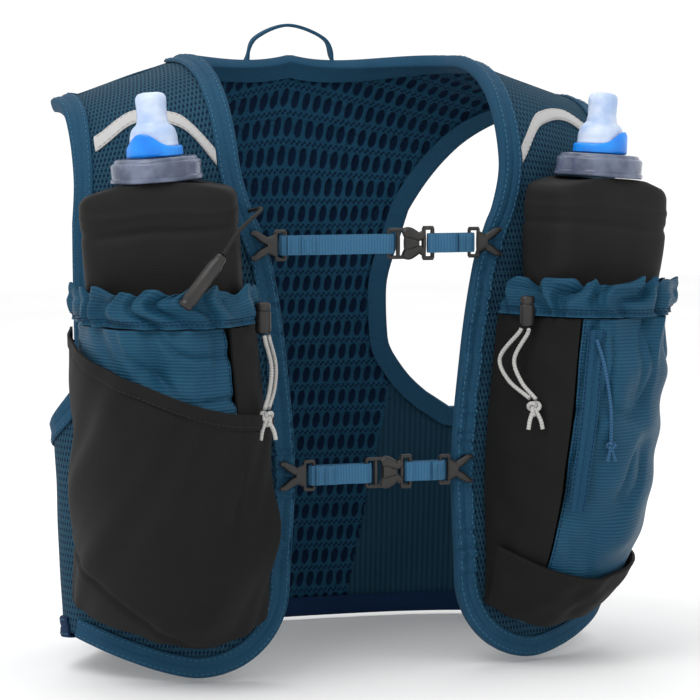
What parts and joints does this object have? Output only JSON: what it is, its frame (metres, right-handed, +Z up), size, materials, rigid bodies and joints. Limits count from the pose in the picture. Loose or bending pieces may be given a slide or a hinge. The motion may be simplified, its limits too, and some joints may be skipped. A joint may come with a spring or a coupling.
{
  "type": "running hydration vest",
  "caption": "Worn-shape running vest of blue mesh, open at the front, with buckled chest straps and soft flasks in ruffle-topped chest pockets.",
  "frame": {"origin": "midway between the shoulders, at the height where the vest sits on them", "axes": "+Z up, -Y is the way the wearer faces, -X is the wearer's right"},
  "size_m": [0.3268, 0.2409, 0.3433],
  "materials": {
    "mesh_cloth": "coarse spacer mesh",
    "ripstop": "light ripstop with fine ribs, slight sheen",
    "edge_tape": "woven folded tape",
    "black_cloth": "matt stretch cloth",
    "black_plastic": "moulded, satin",
    "webbing": "narrow woven webbing",
    "reflective": "silver reflective print",
    "clear_plastic": "smoky translucent",
    "blue_plastic": "glossy, slightly translucent",
    "silicone": "frosted translucent silicone",
    "grey_cord": "braided elastic cord"
  },
  "bodies": {
    "vest": {"arm_tape_left": "edge_tape", "arm_tape_right": "edge_tape", "back_hem_tape": "edge_tape", "back_panel": "mesh_cloth", "cord_lock_left": "black_plastic", "cord_lock_right": "black_plastic", "drawcord_inner_left": "grey_cord", "drawcord_inner_right": "grey_cord", "drawcord_knot_left": "grey_cord", "drawcord_knot_right": "grey_cord", "drawcord_outer_left": "grey_cord", "drawcord_outer_right": "grey_cord", "flank_left": "mesh_cloth", "flank_right": "mesh_cloth", "flask_body_left": "black_cloth", "flask_body_right": "black_cloth", "flask_cap_left": "clear_plastic", "flask_cap_right": "clear_plastic", "front_and_neck_tape": "edge_tape", "front_panel_left": "mesh_cloth", "front_panel_right": "mesh_cloth", "hang_loop": "edge_tape", "lower_buckle_prongs": "black_plastic", "lower_buckle_socket": "black_plastic", "lower_clip_left": "black_plastic", "lower_clip_right": "black_plastic", "lower_web_left": "webbing", "lower_web_right": "webbing", "pocket_face_left": "ripstop", "pocket_face_right": "ripstop", "pocket_gusset_left": "black_cloth", "pocket_gusset_right": "black_cloth", "pocket_overlay_right": "black_cloth", "pocket_ruffle_left": "ripstop", "pocket_ruffle_right": "ripstop", "pocket_toe_left": "black_cloth", "pocket_zip_left": "edge_tape", "reflector_left": "reflective", "reflector_right": "reflective", "upper_buckle_prongs": "black_plastic", "upper_buckle_socket": "black_plastic", "upper_clip_left": "black_plastic", "upper_clip_right": "black_plastic", "upper_web_left": "webbing", "upper_web_right": "webbing", "whistle": "black_plastic", "whistle_cord": "black_cloth", "zip_pull": "edge_tape"},
    "valve_left": {"valve_collar_left": "blue_plastic", "valve_nozzle_left": "silicone"},
    "valve_right": {"valve_collar_right": "blue_plastic", "valve_nozzle_right": "silicone"}
  },
  "joints": [
    {"name": "valve_twist_left", "type": "hinge", "parent": "vest", "child": "valve_left", "pos_m": [0.12203, -0.10464, -0.0333], "axis": [0.0698, 0.0087, 0.9975], "range_deg": [0, 90]},
    {"name": "valve_twist_right", "type": "hinge", "parent": "vest", "child": "valve_right", "pos_m": [-0.12203, -0.10464, -0.0333], "axis": [-0.0698, 0.0087, 0.9975], "range_deg": [-90, 0]}
  ]
}
